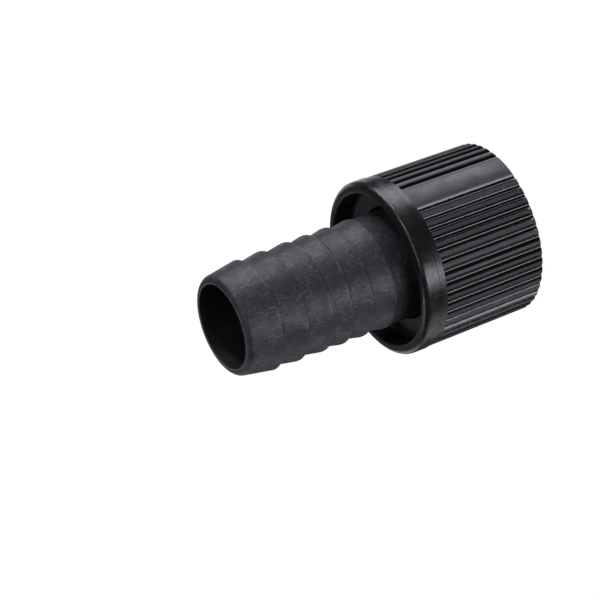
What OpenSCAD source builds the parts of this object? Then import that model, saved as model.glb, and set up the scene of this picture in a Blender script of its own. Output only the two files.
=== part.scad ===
// Suction hose connector: a barbed hose tail held in a ribbed union nut.
// The connector stands on the open end of the nut, with the hose tail pointing up.
// All sizes are in millimetres.

/* [Waterway] */
// Wall between the bore and the foot of each barb
tail_wall = 2.1; // [2:0.05:3]
// Chamfer on both ends of the bore
bore_edge = 0.15; // [0.1:0.05:0.2]

/* [Hose tail] */
// Length of the hose tail from its sealing face to its tip
tail_len = 56.6; // [52:0.1:70]
// Diameter across the barbs, for a hose of 25 mm bore
barb_d = 27; // [26.4:0.1:27.6]
// Height of each barb above its foot, on the radius
barb_depth = 1.05; // [0.7:0.05:1.5]
// Width of the flat crest of each barb
barb_land = 0.5; // [0.2:0.1:1]
// Distance from the tip to the first barb step
lead_len = 8.6; // [6:0.1:9]
// Distances between the barb steps, counted from the tip
barb_runs = [6.7, 6.7, 5.4, 5.6, 6.2];
// How far the tip is below the barb crests, on the radius
tip_step = 1.15; // [0.8:0.05:1.5]
// Radius of the rounded outer edge of the tip
tip_round = 1.7; // [0.4:0.1:1.7]
// How far the plain neck is below the barb crests, on the radius
neck_step = 0.3; // [0.1:0.05:0.7]
// Fillet between the neck and the flange
neck_fillet = 0.4; // [0.2:0.1:0.5]
// Thickness of the flange that the nut pulls on
flange_t = 4; // [3:0.1:5]
// Chamfer on the rim of the flange
flange_edge = 0.4; // [0.2:0.1:0.8]

/* [Union nut] */
// Height of the nut
nut_h = 33.4; // [32:0.1:38]
// Wall between the relief behind the thread and the rib crests, at the open end
grip_wall = 3.8; // [3.2:0.1:5.5]
// Growth of the diameter across the ribs up to the collar, for mould draft
grip_draft = 0.7; // [0:0.1:1.4]
// Chamfer on the outer edge of the open end
open_edge = 0.4; // [0.2:0.1:0.8]
// Height of the smooth collar above the ribs
collar_h = 6.1; // [4:0.1:8]
// How far the bead on the collar stands proud of the ribs, on the radius
bead_proud = 0.2; // [0.1:0.05:0.5]
// Height of the bead, up to the front face
bead_h = 4.3; // [3:0.1:5]
// Radius of the rounded outer edge of the front face
shoulder_r = 1.6; // [0.8:0.1:2]
// Width of the rim round the front opening, from the bead inwards
rim_wall = 2.55; // [2.2:0.05:3.2]
// Draft of the wall round the recess, on the radius
recess_draft = 0.3; // [0.1:0.05:0.6]
// Depth of the recess that takes the end of the hose
recess_depth = 5.4; // [5:0.1:8]
// Fillet at the floor of the recess
recess_fillet = 1.4; // [0.6:0.1:2]
// Chamfer on the edge of the front opening
mouth_edge = 0.3; // [0.2:0.1:0.6]
// Thickness of the web that bears on the flange
web_t = 4.5; // [3.5:0.1:5.5]

/* [Ribbed grip] */
// Number of rib pitches round the nut
rib_count = 50; // [44:2:54]
// Grooves left out at each of the two flat lands
land_gap = 2; // [2:2:6]
// Depth of a groove below the rib crests
groove_depth = 0.65; // [0.4:0.05:0.8]
// Angle between the flanks of a groove and the rib crests
groove_flank = 45; // [40:1:60]
// Radius of the rounded bottom of a groove
groove_round = 0.8; // [0.5:0.05:0.9]
// Direction that the first flat land faces
land_angle = -90; // [-180:5:180]

/* [Pipe thread] */
// Major diameter of the internal pipe thread
thread_d = 33.25; // [33:0.05:33.5]
// Depth of the thread form
thread_depth = 1.48; // [1.2:0.01:1.5]
// Chamfer that leads into the thread
thread_lead = 0.9; // [0.5:0.1:1.2]
// Radial step from the thread to the relief behind it
relief_step = 0.4; // [0.2:0.1:0.6]

/* [Seal] */
// Thickness of the flat seal
seal_t = 3; // [2:0.1:3.4]
// Width that the seal laps behind the thread, on the radius
seal_lap = 0.65; // [0.4:0.05:0.9]

/* [Clearances] */
// Radial clearance between the barbs and the hole in the web
web_clear = 0.4; // [0.3:0.05:0.6]
// Radial clearance between the flange and the thread crests
flange_clear = 0.2; // [0.15:0.05:0.4]
// Axial clearance between the flange and the web
flange_play = 0.3; // [0.2:0.05:0.6]
// Axial clearance between the seal and the end of the thread
seal_play = 0.3; // [0.2:0.05:0.6]
// Radial step from the waterway to the bore of the seal
seal_clear = 1; // [0.6:0.1:1.4]

/* [Hidden] */
$fn = 96;

// How far a cutting shape runs past the face that it cuts
past = 1;

// Heights of the seats inside the nut, counted from its open end
recess_z = nut_h - recess_depth;
web_z = recess_z - web_t;
flange_top_z = web_z - flange_play;
seat_z = flange_top_z - flange_t;
seal_z = seat_z - seal_t;
thread_end_z = seal_z - seal_play;
tip_z = seat_z + tail_len;

// Radii of the hose tail
barb_r = barb_d / 2;
valley_r = barb_r - barb_depth;
bore_r = valley_r - tail_wall;
neck_r = barb_r - neck_step;
tip_r = barb_r - tip_step;

// Radii of the nut
thread_r = thread_d / 2;
thread_crest_r = thread_r - thread_depth;
relief_r = thread_r + relief_step;
web_hole_r = barb_r + web_clear;
grip_low_r = relief_r + grip_wall;
grip_top_r = grip_low_r + grip_draft / 2;
grip_h = nut_h - collar_h;
bead_r = grip_top_r + bead_proud;
bead_z = nut_h - bead_h;
mouth_r = bead_r - rim_wall;
recess_r = mouth_r - recess_draft;

// Radii that follow the thread
flange_r = thread_crest_r - flange_clear;
seal_r = thread_crest_r + seal_lap;
seal_bore_r = bore_r + seal_clear;

// Pitch angle of the ribs, and the lean that keeps a groove at one depth
rib_pitch = 360 / rib_count;
groove_lean = atan((grip_top_r - grip_low_r) / (grip_h - open_edge));

// Half section of a groove: where its round bottom meets a flank, and where the cut ends
groove_turn_x = groove_round * (1 - cos(groove_flank));
groove_turn_y = groove_round * sin(groove_flank);
groove_out_x = groove_depth + 2 * groove_round;
groove_out_y = groove_turn_y + (groove_out_x - groove_turn_x) / tan(groove_flank);

// Sum of the first k distances between the barb steps
function run_sum(k) = k == 0 ? 0 : barb_runs[k - 1] + run_sum(k - 1);

// Height of barb step k, counted from the tip
function step_z(k) = tip_z - lead_len - run_sum(k);

// Crest and foot of every barb, from the neck up to the tip
barb_steps = len(barb_runs);
barb_points = [
    for (k = [barb_steps : -1 : 1])
        each [
            [barb_r, step_z(k)],
            [barb_r, step_z(k) + barb_land],
            [valley_r, step_z(k - 1)]
        ]
];

// Half section of the hose tail, solid down to the axis
module tail_outline() {
    polygon(concat(
        [
            [0, seat_z],
            [flange_r - flange_edge, seat_z],
            [flange_r, seat_z + flange_edge],
            [flange_r, flange_top_z - flange_edge],
            [flange_r - flange_edge, flange_top_z],
            [neck_r + neck_fillet, flange_top_z],
            [neck_r, flange_top_z + neck_fillet],
            [neck_r, step_z(barb_steps)]
        ],
        barb_points,
        [
            [barb_r, step_z(0)],
            [tip_r, tip_z - tip_round],
            [tip_r - tip_round, tip_z],
            [0, tip_z]
        ]
    ));
    translate([tip_r - tip_round, tip_z - tip_round])
        circle(r = tip_round);
}

// Half section of the waterway, with a chamfer at each end
module bore_outline() {
    polygon([
        [0, seat_z - past],
        [bore_r + bore_edge, seat_z - past],
        [bore_r + bore_edge, seat_z],
        [bore_r, seat_z + bore_edge],
        [bore_r, tip_z - bore_edge],
        [bore_r + bore_edge, tip_z],
        [bore_r + bore_edge, tip_z + past],
        [0, tip_z + past]
    ]);
}

// Barbs, neck and flange of the hose tail, moulded in one piece
module hose_tail() {
    color([0.24, 0.235, 0.255])
        rotate_extrude()
            difference() {
                tail_outline();
                bore_outline();
            }
}

// Half section of the outside of the nut, solid down to the axis
module nut_outline() {
    polygon([
        [0, 0],
        [grip_low_r - open_edge, 0],
        [grip_low_r, open_edge],
        [grip_top_r, grip_h],
        [grip_top_r, bead_z - bead_proud],
        [bead_r, bead_z],
        [bead_r, nut_h - shoulder_r],
        [bead_r - shoulder_r, nut_h],
        [0, nut_h]
    ]);
    translate([bead_r - shoulder_r, nut_h - shoulder_r])
        circle(r = shoulder_r);
}

// Half section of everything hollow in the nut
module nut_hollow() {
    polygon([
        [0, -past],
        [thread_r + thread_lead, -past],
        [thread_r + thread_lead, 0],
        [thread_r, thread_lead],
        [thread_r, thread_end_z],
        [relief_r, thread_end_z],
        [relief_r, web_z],
        [web_hole_r, web_z],
        [web_hole_r, recess_z],
        [recess_r - recess_fillet, recess_z],
        [recess_r, recess_z + recess_fillet],
        [mouth_r, nut_h - mouth_edge],
        [mouth_r + mouth_edge, nut_h],
        [mouth_r + mouth_edge, nut_h + past],
        [0, nut_h + past]
    ]);
    translate([recess_r - recess_fillet, recess_z + recess_fillet])
        circle(r = recess_fillet);
}

// Section of a groove, with its bottom at zero and its open side towards +X
module groove_outline() {
    translate([groove_round, 0])
        circle(r = groove_round);
    polygon([
        [groove_turn_x, -groove_turn_y],
        [groove_out_x, -groove_out_y],
        [groove_out_x, groove_out_y],
        [groove_turn_x, groove_turn_y]
    ]);
}

// One round-bottomed groove of the grip, open at the open end of the nut
module grip_groove() {
    translate([grip_low_r - groove_depth, 0, open_edge])
        rotate([0, groove_lean, 0])
            translate([0, 0, -open_edge - past])
                linear_extrude(height = grip_h + past)
                    groove_outline();
}

// Grooves round the nut, with a flat land left on two opposite sides
module grip_grooves() {
    for (side = [0, 180])
        for (k = [land_gap / 2 : rib_count / 2 - land_gap / 2 - 1])
            rotate([0, 0, land_angle + side + (k + 0.5) * rib_pitch])
                grip_groove();
}

// Ribbed nut with its collar, web and threaded socket
module union_nut() {
    color([0.1, 0.1, 0.11])
        difference() {
            rotate_extrude()
                difference() {
                    nut_outline();
                    nut_hollow();
                }
            grip_grooves();
        }
}

// Flat rubber ring between the flange and the pipe that the nut pulls up
module flat_seal() {
    color([0.07, 0.07, 0.07])
        translate([0, 0, seal_z])
            difference() {
                cylinder(h = seal_t, r = seal_r);
                translate([0, 0, -past])
                    cylinder(h = seal_t + 2 * past, r = seal_bore_r);
            }
}

hose_tail();
union_nut();
flat_seal();
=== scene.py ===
"""Suction hose connector: a barbed hose tail held in a ribbed union nut."""
import math
from itertools import accumulate

import bmesh
import bpy
from mathutils import Matrix, Vector


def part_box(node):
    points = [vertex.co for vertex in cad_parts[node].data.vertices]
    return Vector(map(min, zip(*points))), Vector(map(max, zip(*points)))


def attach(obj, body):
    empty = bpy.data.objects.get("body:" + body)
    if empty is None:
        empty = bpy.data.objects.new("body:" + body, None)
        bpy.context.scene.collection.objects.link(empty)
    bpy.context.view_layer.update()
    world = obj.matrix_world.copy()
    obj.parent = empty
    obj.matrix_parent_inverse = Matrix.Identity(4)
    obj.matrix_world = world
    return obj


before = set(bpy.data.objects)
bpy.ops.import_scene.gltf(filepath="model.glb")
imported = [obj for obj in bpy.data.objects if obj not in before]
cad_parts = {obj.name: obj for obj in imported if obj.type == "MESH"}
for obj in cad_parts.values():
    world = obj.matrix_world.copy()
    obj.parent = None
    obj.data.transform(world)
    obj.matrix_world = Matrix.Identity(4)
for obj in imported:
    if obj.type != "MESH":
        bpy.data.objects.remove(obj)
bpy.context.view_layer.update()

MM = 0.001

# Camera: bearing of its side of the object, height angle, roll, place before it is
# turned to its bearing, and the focal length and picture width that were fitted.
BEARING = math.radians(-127.1)
HEIGHT = math.radians(25.443)
ROLL = math.radians(20.368)
CAMERA_AT = Vector((826.35, -0.42, 447.86)) * MM
FOCAL_PX = 3931.2
PICTURE_PX = 600
SENSOR_MM = 36

# Point that the lamps face, near the middle of the object.
MIDDLE = Vector((0, 0, 37.6 * MM))

# Light of the lamps: a little cooler than white.
LAMP_COLOUR = (0.925, 0.93, 1)

# Lamps: name, side from the camera's bearing and height angle in degrees,
# distance, width and height in metres, and power in watts.
LAMPS = (
    # Main light: soft boxes above and below the object in the picture.
    ("top_softbox", 86, -16, 0.6, 0.36, 0.5, 2.3),
    ("low_softbox", -32, -15, 0.6, 0.2, 0.5, 2.2),
    # Dim cards that draw the edges turned away from the camera.
    ("back_card", 158, -10, 0.7, 0.3, 0.6, 0.6),
    ("low_card", -105, -15, 0.7, 0.5, 0.6, 0.9),
    ("rear_card", -150, 4, 0.8, 0.5, 0.3, 0.6),
    # Weak lights above it, for the faces that look up along the axis.
    ("rear_sky", -160, 55, 0.9, 0.5, 0.3, 1.2),
    ("sky", 0, 58, 0.8, 0.4, 0.1, 0.7),
    # Strips that draw thin lines on rounded edges.
    ("high_strip", 45, 40, 0.8, 0.3, 0.1, 0.9),
    ("edge_strip", 82, 14, 0.7, 0.5, 0.05, 1.8),
)

# Radii of the white table and of the ball of paper round it, in metres, and how far
# the table lies under the nut's open face.
TABLE_R = 2.5
PAPER_R = 2.4
TABLE_DROP = 0.02 * MM

# Tip of the hose tail, the outside of the lip round its bore, and the distances
# from the tip to the first barb step and from each step to the next.
TIP_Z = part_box("hose_tail")[1].z
LIP_R = 10.5 * MM
BARB_RUNS = (8.6 * MM, 6.7 * MM, 6.7 * MM, 5.4 * MM, 5.6 * MM, 6.2 * MM)
BARB_STEPS = [TIP_Z - drop for drop in accumulate(BARB_RUNS)]

# Nut: height of the collar above its ribbed grip, how far the collar's bead stands proud
# of the ribs, growth of the grip's radius by draft, top of the grip, radius of the rib
# crests at the open end, and half the width of a flat land.
COLLAR_H = 6.1 * MM
BEAD_PROUD = 0.2 * MM
GRIP_DRAFT = 0.35 * MM
GRIP_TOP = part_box("union_nut")[1].z - COLLAR_H
GRIP_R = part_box("union_nut")[1].x - BEAD_PROUD - GRIP_DRAFT
LAND_HALF = 3 * MM

# Internal G 1 thread of 11 turns to the inch: middle of its first ridge, its turns, the
# steps in a turn, radii of root and crest, and the part of a turn in which it fades
# in and out.
THREAD_PITCH = 2.309 * MM
THREAD_LOW = 2.1 * MM
THREAD_TURNS = 5
THREAD_STEPS = 72
THREAD_R = 16.625 * MM
THREAD_CREST_R = 15.145 * MM
THREAD_FADE = 0.3

# Sockets of a Mix node: its share, its two numbers and its two colours, and the output
# on which it gives a colour.
SHARE, NUMBER_A, NUMBER_B, COLOUR_A, COLOUR_B = 0, 2, 3, 6, 7
COLOUR = 2


def make_camera():
    """Camera at the fitted place, rolled so that the tip points to the left."""
    out = Vector((math.cos(HEIGHT), 0, math.sin(HEIGHT)))
    side = Vector((0, 1, 0))
    above = Vector((-math.sin(HEIGHT), 0, math.cos(HEIGHT)))
    right = -math.sin(ROLL) * side - math.cos(ROLL) * above
    up = math.cos(ROLL) * side - math.sin(ROLL) * above
    turn = Matrix((right, up, out)).transposed().to_4x4()
    data = bpy.data.cameras.new("camera")
    data.sensor_width = SENSOR_MM
    data.lens = FOCAL_PX * SENSOR_MM / PICTURE_PX
    data.clip_start = 0.05
    data.clip_end = 30
    made = bpy.data.objects.new("camera", data)
    made.matrix_world = (
        Matrix.Rotation(BEARING, 4, "Z") @ Matrix.Translation(CAMERA_AT) @ turn
    )
    bpy.context.collection.objects.link(made)
    bpy.context.scene.camera = made


def rgb(code):
    """Linear colour of an sRGB hex code."""
    parts = [int(code[i : i + 2], 16) / 255 for i in (0, 2, 4)]
    return [p / 12.92 if p <= 0.04045 else ((p + 0.055) / 1.055) ** 2.4 for p in parts] + [1]


def add(tree, kind, sockets, **settings):
    """Adds a shader node, sets it up, and fills or links its sockets.

    A node that is given for a socket is linked by its first output.
    """
    made = tree.nodes.new("ShaderNode" + kind)
    for name, value in settings.items():
        setattr(made, name, value)
    for key, value in sockets.items():
        if isinstance(value, bpy.types.Node):
            value = value.outputs[0]
        if isinstance(value, bpy.types.NodeSocket):
            tree.links.new(value, made.inputs[key])
        else:
            made.inputs[key].default_value = value
    return made


def new_material(name):
    """Empty material and its node tree."""
    made = bpy.data.materials.new(name)
    made.use_nodes = True
    made.node_tree.nodes.clear()
    return made, made.node_tree


def distance_from_axis(tree, place):
    """Radius of a place round the axis that both mouldings share."""
    flat = add(tree, "VectorMath", {0: place, 1: (1, 1, 0)}, operation="MULTIPLY")
    return add(tree, "VectorMath", {0: flat}, operation="LENGTH").outputs["Value"]


def barb_bands(tree, height, profile):
    """Shade over the height of the tail that repeats a profile at the step of each barb.

    The profile lists heights above the step, in mm, with the shade at each.
    """
    # The ramp covers all barbs.
    low = 30 * MM
    high = 80 * MM
    rise = add(tree, "MapRange", {"Value": height, "From Min": low, "From Max": high})
    bands = add(tree, "ValToRGB", {"Fac": rise})
    bands.color_ramp.elements[1].color = rgb("000000")
    for step in BARB_STEPS:
        for above, shade in profile:
            stop = bands.color_ramp.elements.new((step + above * MM - low) / (high - low))
            stop.color = (shade, shade, shade, 1)
    return bands


def tail_plastic():
    """Moulded glass-filled polyamide: charcoal satin, fibre clouds, painted glints, shade and
    highlights.
    """
    made, tree = new_material("glass_filled_moulding")
    place = add(tree, "TexCoord", {}).outputs["Object"]
    height = add(tree, "SeparateXYZ", {0: place}).outputs["Z"]
    radius = distance_from_axis(tree, place)

    # Clouds a few mm wide, where the melt cooled unevenly and the fibres gathered.
    cloud = add(tree, "TexNoise", {"Vector": place, "Scale": 1 / (3 * MM), "Detail": 3})
    pale = add(tree, "MapRange", {"Value": cloud, "From Min": 0.35, "From Max": 0.65})
    skin = add(
        tree,
        "Mix",
        {SHARE: pale, COLOUR_A: rgb("1c1b20"), COLOUR_B: rgb("26252a")},
        data_type="RGBA",
    ).outputs[COLOUR]
    gathered = add(
        tree, "MapRange", {"Value": cloud, "From Min": 0.42, "From Max": 0.64, "To Min": 0.15}
    )

    # Pale flecks drawn out along the flow: painted glints of fibre ends, which are really about 0.01
    # mm wide.
    # They are drawn 0.35 mm wide, so that they show.
    flow = add(tree, "Mapping", {"Vector": place, "Scale": (1, 1, 0.5)})
    fleck = add(tree, "TexNoise", {"Vector": flow, "Scale": 1 / (0.35 * MM), "Detail": 2})
    shown = add(tree, "MapRange", {"Value": fleck, "From Min": 0.5, "From Max": 0.7})
    most = add(tree, "MapRange", {"Value": gathered, "To Min": 0.05, "To Max": 0.3})
    painted_glint = add(tree, "Math", {0: shown, 1: most}, operation="MULTIPLY")
    skin = add(
        tree, "Mix", {SHARE: painted_glint, COLOUR_A: skin, COLOUR_B: rgb("7c7b82")}, data_type="RGBA"
    ).outputs[COLOUR]

    # Painted shade: a dark line in the corner under each barb, broken up along its way.
    corner = barb_bands(tree, height, ((-0.95, 0), (-0.7, 1), (0, 1), (0.02, 0)))
    patch = add(tree, "TexNoise", {"Vector": place, "Scale": 1 / (5 * MM), "Detail": 3})
    corner_shade_share = add(
        tree,
        "MapRange",
        {"Value": patch, "From Min": 0.42, "From Max": 0.62, "To Min": 0.05, "To Max": 0.5},
    )
    line = add(tree, "Math", {0: corner, 1: corner_shade_share}, operation="MULTIPLY")
    skin = add(
        tree, "Mix", {SHARE: line, COLOUR_A: skin, COLOUR_B: rgb("0a0a0c")}, data_type="RGBA"
    ).outputs[COLOUR]

    # Painted highlight: a pale line along the edge of each barb, in patches where the corner shade
    # is faint.
    edge = barb_bands(tree, height, ((-0.03, 0), (0, 1), (0.16, 1), (0.3, 0)))
    faint_shade_patches = add(
        tree, "MapRange", {"Value": patch, "From Min": 0.5, "From Max": 0.4, "To Max": 0.8}
    )
    patchy_share = add(tree, "Math", {0: edge, 1: faint_shade_patches}, operation="MULTIPLY")
    skin = add(
        tree, "Mix", {SHARE: patchy_share, COLOUR_A: skin, COLOUR_B: rgb("5a5960")}, data_type="RGBA"
    ).outputs[COLOUR]

    # Painted highlight: the thin lip round the mouth is painted pale all the way.
    inner = add(
        tree,
        "MapRange",
        {"Value": radius, "From Min": LIP_R + 0.3 * MM, "From Max": LIP_R + 0.1 * MM},
    )
    near_tip = add(
        tree,
        "MapRange",
        {"Value": height, "From Min": TIP_Z - 0.35 * MM, "From Max": TIP_Z - 0.2 * MM},
    )
    lip = add(tree, "Math", {0: inner, 1: near_tip}, operation="MULTIPLY")
    skin = add(
        tree, "Mix", {SHARE: lip, COLOUR_A: skin, COLOUR_B: rgb("605f66")}, data_type="RGBA"
    ).outputs[COLOUR]

    # The bore comes off a polished core pin and is smooth. Painted shade makes it blacker than the
    # outside.
    bore = add(tree, "Math", {0: radius, 1: LIP_R - 0.1 * MM}, operation="LESS_THAN")
    skin = add(
        tree, "Mix", {SHARE: bore, COLOUR_A: skin, COLOUR_B: rgb("18181b")}, data_type="RGBA"
    ).outputs[COLOUR]
    outside = add(tree, "Math", {0: 1, 1: bore}, operation="SUBTRACT")

    # Slow sinks of the wall, and fibres that lift the skin where they gather. The lift is
    # drawn wider and higher than in life, so that it shows.
    soft = add(tree, "Bevel", {"Radius": 0.15 * MM}, samples=4)
    sink = add(tree, "TexNoise", {"Vector": place, "Scale": 1 / (2 * MM), "Detail": 2})
    wave = add(
        tree, "Bump", {"Height": sink, "Strength": outside, "Distance": 0.12 * MM, "Normal": soft}
    )
    fibre = add(tree, "TexNoise", {"Vector": flow, "Scale": 1 / (0.65 * MM), "Detail": 3})
    grain = add(tree, "MapRange", {"Value": fibre, "To Min": -0.5, "To Max": 0.5})
    raised = add(tree, "Math", {0: grain, 1: gathered}, operation="MULTIPLY")
    relief = add(
        tree, "Bump", {"Height": raised, "Strength": outside, "Distance": 0.22 * MM, "Normal": wave}
    )

    # Satin, glossier where the fibres gather, and dull along the painted corner shade.
    satin = add(tree, "MapRange", {"Value": gathered, "To Min": 0.58, "To Max": 0.46})
    rough = add(tree, "Mix", {SHARE: line, NUMBER_A: satin, NUMBER_B: 0.9})
    face = add(
        tree,
        "BsdfPrincipled",
        {"Base Color": skin, "Roughness": rough, "Normal": relief, "IOR": 1.53},
    )
    add(tree, "OutputMaterial", {"Surface": face})
    return made


def nut_plastic():
    """Moulded polypropylene: soft black gloss, glossy grooves painted in shade, crests scuffed matt
    grey.
    """
    made, tree = new_material("black_gloss_moulding")
    place = add(tree, "TexCoord", {}).outputs["Object"]
    parts = add(tree, "SeparateXYZ", {0: place})
    height = parts.outputs["Z"]
    radius = distance_from_axis(tree, place)

    # Level over the drafted grip: GRIP_R on the rib crests at any height, less in the grooves.
    draft = add(tree, "Math", {0: height, 1: GRIP_DRAFT / GRIP_TOP}, operation="MULTIPLY")
    level = add(tree, "Math", {0: radius, 1: draft}, operation="SUBTRACT")
    rib_edge = GRIP_R - 0.1 * MM
    crest = add(
        tree, "MapRange", {"Value": level, "From Min": rib_edge, "From Max": GRIP_R - 0.04 * MM}
    )
    groove = add(
        tree, "MapRange", {"Value": level, "From Min": rib_edge, "From Max": GRIP_R - 0.3 * MM}
    )
    below = add(tree, "Math", {0: height, 1: GRIP_TOP}, operation="LESS_THAN")
    outside = add(tree, "Math", {0: radius, 1: GRIP_R - 1 * MM}, operation="GREATER_THAN")
    ribbed = add(tree, "Math", {0: below, 1: outside}, operation="MULTIPLY")
    # The grooves are glossy, and painted darker as shade.
    groove_gloss_and_shade = add(tree, "Math", {0: groove, 1: ribbed}, operation="MULTIPLY")
    handled = add(tree, "Math", {0: crest, 1: ribbed}, operation="MULTIPLY")

    # Scuffs on the crests, but not on the two lands, whose middles are on the Y axis. Real
    # scratches are far finer. They are drawn 0.45 mm wide, so that they show.
    aside = add(tree, "Math", {0: parts.outputs["X"]}, operation="ABSOLUTE")
    off_land = add(
        tree, "MapRange", {"Value": aside, "From Min": LAND_HALF - 0.6 * MM, "From Max": LAND_HALF}
    )
    touched = add(tree, "Math", {0: handled, 1: off_land}, operation="MULTIPLY")
    grit = add(tree, "TexNoise", {"Vector": place, "Scale": 1 / (0.45 * MM), "Detail": 3})
    patchy_share = add(
        tree, "MapRange", {"Value": grit, "From Min": 0.4, "From Max": 0.6, "To Min": 0.55}
    )
    scuffed = add(tree, "Math", {0: touched, 1: patchy_share}, operation="MULTIPLY")

    # Black with faint clouds, painted darker in the grooves as shade, and greyed where hands and
    # tools rub.
    cloud = add(tree, "TexNoise", {"Vector": place, "Scale": 1 / (5 * MM), "Detail": 3})
    pale = add(tree, "MapRange", {"Value": cloud, "From Min": 0.3, "From Max": 0.7})
    skin = add(
        tree,
        "Mix",
        {SHARE: pale, COLOUR_A: rgb("0c0c0f"), COLOUR_B: rgb("131317")},
        data_type="RGBA",
    ).outputs[COLOUR]
    for share, colour in ((groove_gloss_and_shade, "040405"), (handled, "1e1e22"), (scuffed, "333238")):
        skin = add(
            tree, "Mix", {SHARE: share, COLOUR_A: skin, COLOUR_B: rgb(colour)}, data_type="RGBA"
        ).outputs[COLOUR]

    # Slow waves of the cooled wall outside, and a fine unevenness that the inside has less of.
    soft = add(tree, "Bevel", {"Radius": 0.07 * MM}, samples=4)
    swell = add(tree, "TexNoise", {"Vector": place, "Scale": 1 / (2.2 * MM), "Detail": 3})
    wave = add(
        tree, "Bump", {"Height": swell, "Strength": outside, "Distance": 0.045 * MM, "Normal": soft}
    )
    fine = add(tree, "TexNoise", {"Vector": place, "Scale": 1 / (0.5 * MM), "Detail": 3})
    strength = add(tree, "MapRange", {"Value": outside, "To Min": 0.3})
    relief = add(
        tree, "Bump", {"Height": fine, "Strength": strength, "Distance": 0.025 * MM, "Normal": wave}
    )

    # Gloss: satin inside, uneven on the collar, the crests and the lands, bright in the
    # grooves, and matt on the scuffs.
    collar = add(
        tree,
        "MapRange",
        {"Value": swell, "From Min": 0.35, "From Max": 0.65, "To Min": 0.24, "To Max": 0.36},
    )
    worn = add(
        tree,
        "MapRange",
        {"Value": cloud, "From Min": 0.38, "From Max": 0.62, "To Min": 0.29, "To Max": 0.42},
    )
    rough = 0.52
    for share, gloss in ((outside, collar), (handled, worn), (groove_gloss_and_shade, 0.16), (scuffed, 0.6)):
        rough = add(tree, "Mix", {SHARE: share, NUMBER_A: rough, NUMBER_B: gloss})
    face = add(
        tree,
        "BsdfPrincipled",
        {"Base Color": skin, "Roughness": rough, "Normal": relief, "IOR": 1.5},
    )
    add(tree, "OutputMaterial", {"Surface": face})
    return made


def seal_rubber():
    """Nitrile rubber cut from sheet: black and matt, with a dusty face."""
    made, tree = new_material("black_rubber")
    place = add(tree, "TexCoord", {}).outputs["Object"]
    # Real dust is far finer. It is drawn 0.6 mm wide, so that it shows.
    dust = add(tree, "TexNoise", {"Vector": place, "Scale": 1 / (0.6 * MM), "Detail": 5})
    dusty = add(tree, "MapRange", {"Value": dust, "From Min": 0.4, "From Max": 0.75})
    skin = add(
        tree,
        "Mix",
        {SHARE: dusty, COLOUR_A: rgb("101010"), COLOUR_B: rgb("232322")},
        data_type="RGBA",
    ).outputs[COLOUR]
    relief = add(tree, "Bump", {"Height": dust, "Strength": 0.4, "Distance": 0.03 * MM})
    face = add(tree, "BsdfPrincipled", {"Base Color": skin, "Roughness": 0.75, "Normal": relief})
    add(tree, "OutputMaterial", {"Surface": face})
    return made


def seen_directly(tree):
    """1 for rays that show the background: camera, glossy and transmission rays."""
    path = add(tree, "LightPath", {})
    shown = path.outputs["Is Camera Ray"]
    for ray in ("Is Glossy Ray", "Is Transmission Ray"):
        shown = add(tree, "Math", {0: shown, 1: path.outputs[ray]}, operation="MAXIMUM")
    return shown


def pale_floor():
    """White painted table: it shows white with a soft shadow, and is clear from below."""
    made, tree = new_material("white_table")
    board = add(tree, "BsdfDiffuse", {"Color": rgb("e6e6e6")})
    # The glow is most of what shows, and the board under it keeps the shadow. Together
    # they come to white.
    glow = add(tree, "Emission", {"Strength": 1.14})
    share = add(tree, "Math", {0: seen_directly(tree), 1: 0.85}, operation="MULTIPLY")
    top = add(tree, "MixShader", {0: share, 1: board, 2: glow})
    underside = add(tree, "NewGeometry", {}).outputs["Backfacing"]
    clear = add(tree, "BsdfTransparent", {})
    face = add(tree, "MixShader", {0: underside, 1: top, 2: clear})
    add(tree, "OutputMaterial", {"Surface": face})
    return made


def pale_backdrop():
    """White paper round the table: it shows white and gives no light."""
    made, tree = new_material("white_paper")
    paper = add(tree, "Emission", {"Strength": seen_directly(tree)})
    add(tree, "OutputMaterial", {"Surface": paper})
    return made


def set_world():
    """Dim even light of the room."""
    world = bpy.data.worlds.new("room")
    world.use_nodes = True
    tree = world.node_tree
    tree.nodes.clear()
    light = add(tree, "Background", {"Strength": 0.09})
    add(tree, "OutputWorld", {"Surface": light})
    bpy.context.scene.world = world


def lamp(name, side, height, far, wide, tall, power):
    """Soft rectangular lamp that faces the middle of the object and doesn't show itself."""
    turn = BEARING + math.radians(side)
    rise = math.radians(height)
    out = Vector((math.cos(turn) * math.cos(rise), math.sin(turn) * math.cos(rise), math.sin(rise)))
    data = bpy.data.lights.new(name, "AREA")
    data.shape = "RECTANGLE"
    data.size = wide
    data.size_y = tall
    data.energy = power
    data.color = LAMP_COLOUR
    made = bpy.data.objects.new(name, data)
    made.location = MIDDLE + out * far
    made.rotation_mode = "QUATERNION"
    made.rotation_quaternion = out.to_track_quat("Z", "Y")
    made.visible_camera = False
    bpy.context.collection.objects.link(made)


def new_piece(name, form, material):
    """Object with the shape of a bmesh, at the origin."""
    mesh = bpy.data.meshes.new(name)
    form.to_mesh(mesh)
    form.free()
    mesh.materials.append(material)
    made = bpy.data.objects.new(name, mesh)
    bpy.context.collection.objects.link(made)
    return made


def lay_ground():
    """Table just under the nut's open face, and paper all round it."""
    table = bmesh.new()
    bmesh.ops.create_circle(table, cap_ends=True, segments=96, radius=TABLE_R)
    bmesh.ops.translate(table, verts=table.verts, vec=(0, 0, -TABLE_DROP))
    floor = new_piece("floor", table, pale_floor())
    paper = bmesh.new()
    bmesh.ops.create_uvsphere(paper, u_segments=48, v_segments=24, radius=PAPER_R)
    backdrop = new_piece("backdrop", paper, pale_backdrop())
    backdrop.visible_diffuse = False
    for ground in (floor, backdrop):
        # The lamps alone show in the gloss, and both let their light through.
        ground.visible_glossy = False
        ground.visible_shadow = False


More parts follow.
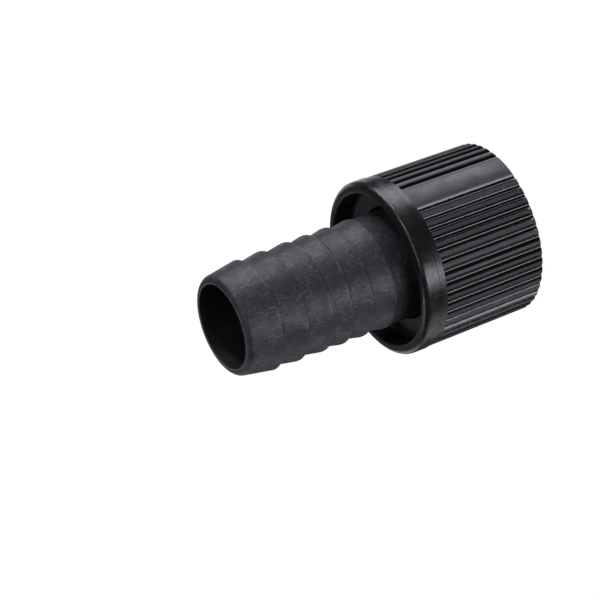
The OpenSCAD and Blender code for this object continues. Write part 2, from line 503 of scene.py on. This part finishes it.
def thread_ridge(material):
    """Ridge of the internal thread, wound right-handed up the socket of the nut."""
    # How far the foot is sunk in the wall, half widths of the flat root and the flat crest,
    # and how far the corner at each is cut back.
    sunk = 0.06 * MM
    root_half = 0.12 * MM
    crest_half = 0.2 * MM
    root_round = 0.1 * MM
    crest_round = 0.12 * MM
    foot_half = THREAD_PITCH / 2 - root_half
    # Upper half of the section, from the foot to the crest: radius and height.
    upper = [
        (THREAD_R + sunk, foot_half + sunk / 2),
        (THREAD_R - root_round, foot_half - root_round),
        (THREAD_CREST_R + crest_round, crest_half + crest_round / 2),
        (THREAD_CREST_R, crest_half - crest_round / 2),
    ]
    section = [(r, -z) for r, z in upper] + upper[::-1]
    form = bmesh.new()
    ring = [form.verts.new((r, 0, THREAD_LOW + z)) for r, z in section]
    edges = [form.edges.new((a, b)) for a, b in zip(ring, ring[1:] + ring[:1])]
    wound = bmesh.ops.spin(
        form,
        geom=ring + edges,
        axis=(0, 0, 1),
        cent=(0, 0, 0),
        dvec=(0, 0, THREAD_PITCH / THREAD_STEPS),
        angle=2 * math.pi * THREAD_TURNS,
        steps=THREAD_STEPS * THREAD_TURNS,
    )
    last = [edge for edge in wound["geom_last"] if isinstance(edge, bmesh.types.BMEdge)]
    for rim in (edges, last):
        bmesh.ops.contextual_create(form, geom=rim)
    # Both ends fade into the wall, as the tool leaves them.
    for vert in form.verts:
        turned = math.atan2(vert.co.y, vert.co.x) / (2 * math.pi) % 1
        climb = (vert.co.z - THREAD_LOW) / THREAD_PITCH
        along = turned + round(climb - turned)
        shown = min(1, along / THREAD_FADE, (THREAD_TURNS - along) / THREAD_FADE)
        flat = Vector((vert.co.x, vert.co.y))
        depth = max(THREAD_R + sunk - flat.length, 0)
        flat *= (flat.length + depth * (1 - max(shown, 0))) / flat.length
        vert.co.x, vert.co.y = flat
    bmesh.ops.recalc_face_normals(form, faces=form.faces)
    for face in form.faces:
        face.smooth = len(face.verts) == 4
    ridge = new_piece("thread_ridge", form, material)
    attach(ridge, "nut")


def dress(node, material):
    """Gives a node of the frame its finished material."""
    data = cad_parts[node].data
    data.materials.clear()
    data.materials.append(material)


make_camera()
set_world()
lay_ground()
for settings in LAMPS:
    lamp(*settings)

dress("hose_tail", tail_plastic())
black = nut_plastic()
dress("union_nut", black)
thread_ridge(black)
dress("flat_seal", seal_rubber())

bpy.context.scene.view_settings.view_transform = "Standard"
